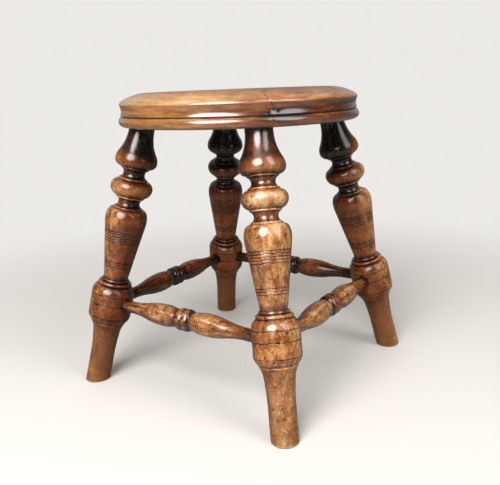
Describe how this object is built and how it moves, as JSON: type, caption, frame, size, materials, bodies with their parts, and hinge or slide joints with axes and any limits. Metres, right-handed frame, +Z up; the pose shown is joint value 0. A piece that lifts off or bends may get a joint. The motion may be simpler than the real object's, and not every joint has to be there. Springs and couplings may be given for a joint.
{
  "type": "turned stool",
  "caption": "Low round wooden stool: a thick moulded seat on raked, vase-and-ring turned legs tied by turned stretchers",
  "frame": {"origin": "on the floor, under the middle of the seat", "axes": "+Z up; a leg stands towards each corner of the square (+-X, +-Y); the front and back stretchers run along X and the other two along Y"},
  "size_m": [0.3362, 0.3362, 0.3825],
  "materials": {
    "seat_wood": "old waxed polish, golden tan on the top and red-brown on the edge",
    "leg_wood": "old dark polish, near black in the hollows and rubbed to tan on the swells",
    "stretcher_wood": "old polish, rubbed golden brown on top and dark at the ring"
  },
  "bodies": {
    "root": {"seat": "seat_wood", "leg_front_right": "leg_wood", "leg_back_right": "leg_wood", "leg_back_left": "leg_wood", "leg_front_left": "leg_wood", "stretcher_front": "stretcher_wood", "stretcher_right": "stretcher_wood", "stretcher_back": "stretcher_wood", "stretcher_left": "stretcher_wood"}
  },
  "joints": []
}
